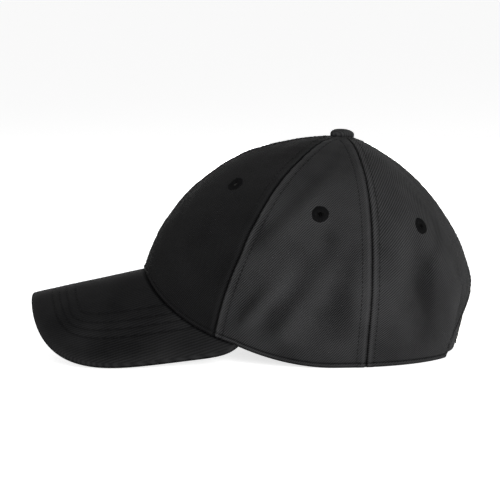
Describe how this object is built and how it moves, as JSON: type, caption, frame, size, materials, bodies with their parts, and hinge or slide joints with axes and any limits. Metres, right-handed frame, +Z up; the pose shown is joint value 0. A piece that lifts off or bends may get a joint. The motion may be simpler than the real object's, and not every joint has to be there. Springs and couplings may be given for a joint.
{
  "type": "baseball cap",
  "caption": "Curved-visor fabric cap with a panelled crown, covered button, stitched eyelets and an adjustable rear strap with a clamping buckle.",
  "frame": {"origin": "centre of the cap's bounding box on the plane it rests on", "axes": "+Z up, visor towards -Y, wearer's left side towards +X"},
  "size_m": [0.17, 0.2769, 0.1411],
  "materials": {
    "crown_twill": "washed black cotton twill with a fine diagonal wale",
    "visor_twill": "black cotton twill stretched over the board",
    "button_twill": "black cotton twill drawn over the button",
    "strap_twill": "folded and stitched black twill",
    "eyelet_thread": "black embroidery thread, slightly glossy",
    "seam_tape": "flat woven black tape",
    "sweatband_fabric": "soft brushed cotton",
    "padding_foam": "thin foam",
    "label_fabric": "plain woven satin, blank",
    "buckram": "stiff open-weave mesh",
    "visor_board": "bent sheet",
    "button_metal": "pressed sheet",
    "buckle_metal": "dark brushed plating"
  },
  "bodies": {
    "cap": {"arch_facing": "seam_tape", "buckle_frame": "buckle_metal", "buckle_loop": "strap_twill", "buckle_pin": "buckle_metal", "button_cover": "button_twill", "button_rivet": "button_metal", "button_shell": "button_metal", "button_washer": "button_metal", "care_label": "label_fabric", "front_eyelet_left": "eyelet_thread", "front_eyelet_right": "eyelet_thread", "front_panel_left": "crown_twill", "front_panel_right": "crown_twill", "front_seam_tape": "seam_tape", "front_stiffener_left": "buckram", "front_stiffener_right": "buckram", "rear_eyelet_left": "eyelet_thread", "rear_eyelet_right": "eyelet_thread", "rear_panel_left": "crown_twill", "rear_panel_right": "crown_twill", "rear_seam_tape": "seam_tape", "side_eyelet_left": "eyelet_thread", "side_eyelet_right": "eyelet_thread", "side_front_seam_tape_left": "seam_tape", "side_front_seam_tape_right": "seam_tape", "side_panel_left": "crown_twill", "side_panel_right": "crown_twill", "side_rear_seam_tape_left": "seam_tape", "side_rear_seam_tape_right": "seam_tape", "sweatband": "sweatband_fabric", "sweatband_padding": "padding_foam", "visor_board": "visor_board", "visor_top_cover": "visor_twill", "visor_under_cover": "visor_twill"},
    "strap": {"adjuster_strap": "strap_twill"},
    "lever": {"buckle_lever": "buckle_metal"}
  },
  "joints": [
    {"name": "strap_slide", "type": "hinge", "parent": "cap", "child": "strap", "pos_m": [0, 0.0525, 0.0115], "axis": [0, 0, 1], "range_deg": [-9, 8]},
    {"name": "buckle_lever_hinge", "type": "hinge", "parent": "cap", "child": "lever", "pos_m": [-0.02383, 0.12808, 0.0115], "axis": [-0.0778, 0.2468, 0.9659], "range_deg": [0, 100]}
  ]
}
